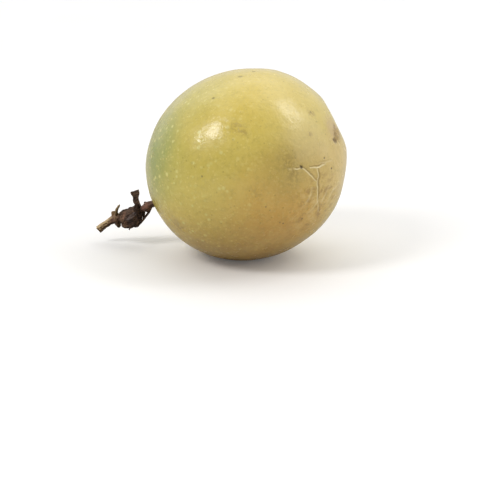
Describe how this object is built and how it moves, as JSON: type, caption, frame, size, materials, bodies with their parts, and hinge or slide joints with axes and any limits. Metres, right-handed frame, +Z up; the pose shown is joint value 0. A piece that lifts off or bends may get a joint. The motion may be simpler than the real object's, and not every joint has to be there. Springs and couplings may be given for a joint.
{
  "type": "passion fruit",
  "caption": "Ripe yellow passion fruit lying on its side, with its cut stalk and the withered flower still on the stalk.",
  "frame": {"origin": "middle of the small flat spot on the underside that the fruit lies on", "axes": "+Z up; +X towards the blossom end's side, with the stalk on the -X side; the picture looks along +Y from the -Y side"},
  "size_m": [0.0891, 0.0671, 0.0673],
  "materials": {
    "rind": "smooth waxy rind, green to yellow with an orange underside",
    "dry_stalk": "dry, rough, tan to dark brown",
    "dry_flower": "withered, wrinkled, near-black brown"
  },
  "bodies": {
    "root": {"fruit": "rind", "stalk": "dry_stalk", "withered_flower": "dry_flower"}
  },
  "joints": []
}
